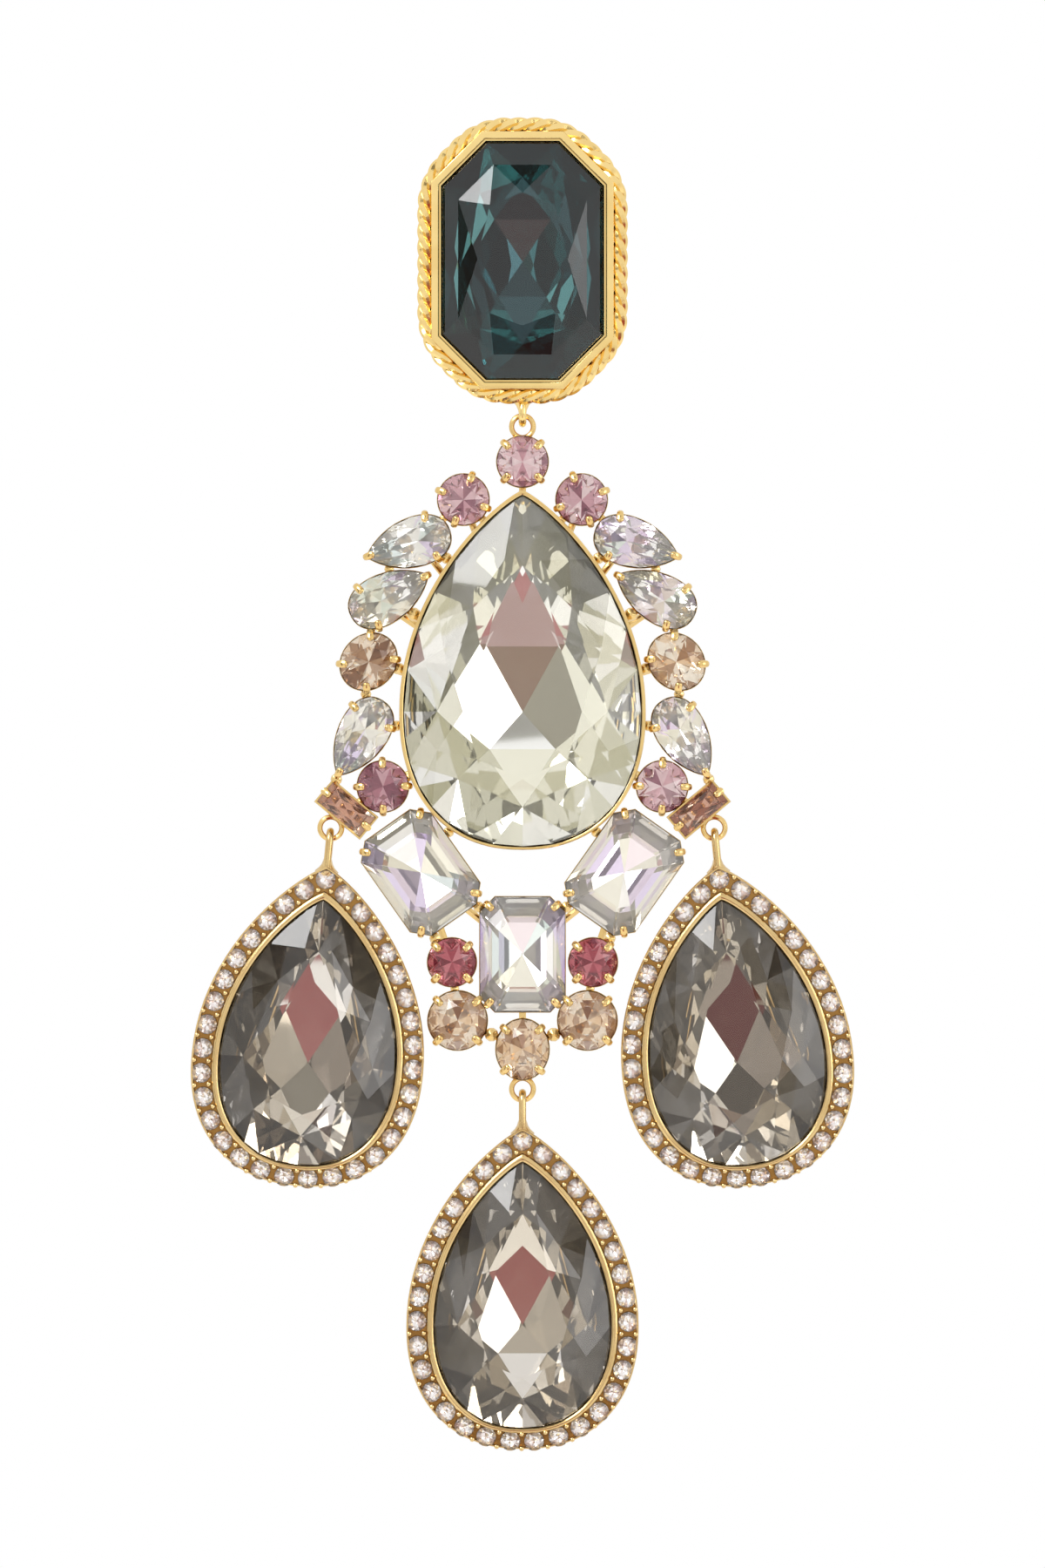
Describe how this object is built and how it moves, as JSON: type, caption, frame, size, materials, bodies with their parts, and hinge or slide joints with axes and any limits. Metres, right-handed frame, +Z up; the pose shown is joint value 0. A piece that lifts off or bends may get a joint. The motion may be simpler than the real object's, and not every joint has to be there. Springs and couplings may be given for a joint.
{
  "type": "chandelier earring",
  "caption": "Clip-on chandelier earring: octagon stud with a rope edge, a pear-shaped centre piece edged with small stones, and hinged pear drops with pave halos.",
  "frame": {"origin": "point on the stud's back plate where the ear lobe is clipped", "axes": "+Z up along the hanging earring, -Y towards the viewer (front of the stones), +X to the viewer's right"},
  "size_m": [0.0752, 0.0144, 0.1511],
  "materials": {
    "gold": "polished gold plate",
    "teal_glass": "faceted, foiled behind",
    "clear_glass": "faceted, foiled behind",
    "pink_glass": "faceted, foiled behind",
    "red_glass": "faceted, foiled behind",
    "champagne_glass": "faceted, foiled behind",
    "peach_glass": "faceted, foiled behind",
    "smoke_glass": "faceted, foiled behind"
  },
  "bodies": {
    "stud": {"stud_setting": "gold", "stud_stone": "teal_glass", "ear_clip": "gold"},
    "centre": {"centre_frame": "gold", "centre_stone": "clear_glass", "chaton_top": "pink_glass", "chaton_left": "pink_glass", "chaton_right": "pink_glass", "upper_pear_left": "clear_glass", "upper_pear_right": "clear_glass", "lower_pear_left": "clear_glass", "lower_pear_right": "clear_glass", "oval_left": "champagne_glass", "oval_right": "champagne_glass", "side_pear_left": "clear_glass", "side_pear_right": "clear_glass", "low_chaton_left": "pink_glass", "low_chaton_right": "pink_glass", "baguette_left": "peach_glass", "baguette_right": "peach_glass", "side_octagon_left": "clear_glass", "side_octagon_right": "clear_glass", "centre_octagon": "clear_glass", "red_left": "red_glass", "red_right": "red_glass", "champagne_left": "champagne_glass", "champagne_right": "champagne_glass", "champagne_centre": "champagne_glass"},
    "drop_left": {"drop_left_setting": "gold", "drop_left_stone": "smoke_glass"},
    "drop_right": {"drop_right_setting": "gold", "drop_right_stone": "smoke_glass"},
    "drop_centre": {"drop_centre_setting": "gold", "drop_centre_stone": "smoke_glass"}
  },
  "joints": [
    {"name": "centre_swing", "type": "hinge", "parent": "stud", "child": "centre", "pos_m": [0, -0.00462, -0.02051], "axis": [1, 0, 0], "range_deg": [-45, 45]},
    {"name": "drop_left_swing", "type": "hinge", "parent": "centre", "child": "drop_left", "pos_m": [-0.02186, -0.00462, -0.06848], "axis": [0.9952, 0, -0.0979], "range_deg": [-45, 45]},
    {"name": "drop_right_swing", "type": "hinge", "parent": "centre", "child": "drop_right", "pos_m": [0.02186, -0.00462, -0.06848], "axis": [0.9952, 0, 0.0979], "range_deg": [-45, 45]},
    {"name": "drop_centre_swing", "type": "hinge", "parent": "centre", "child": "drop_centre", "pos_m": [0, -0.00462, -0.09811], "axis": [1, 0, 0], "range_deg": [-45, 45]}
  ]
}
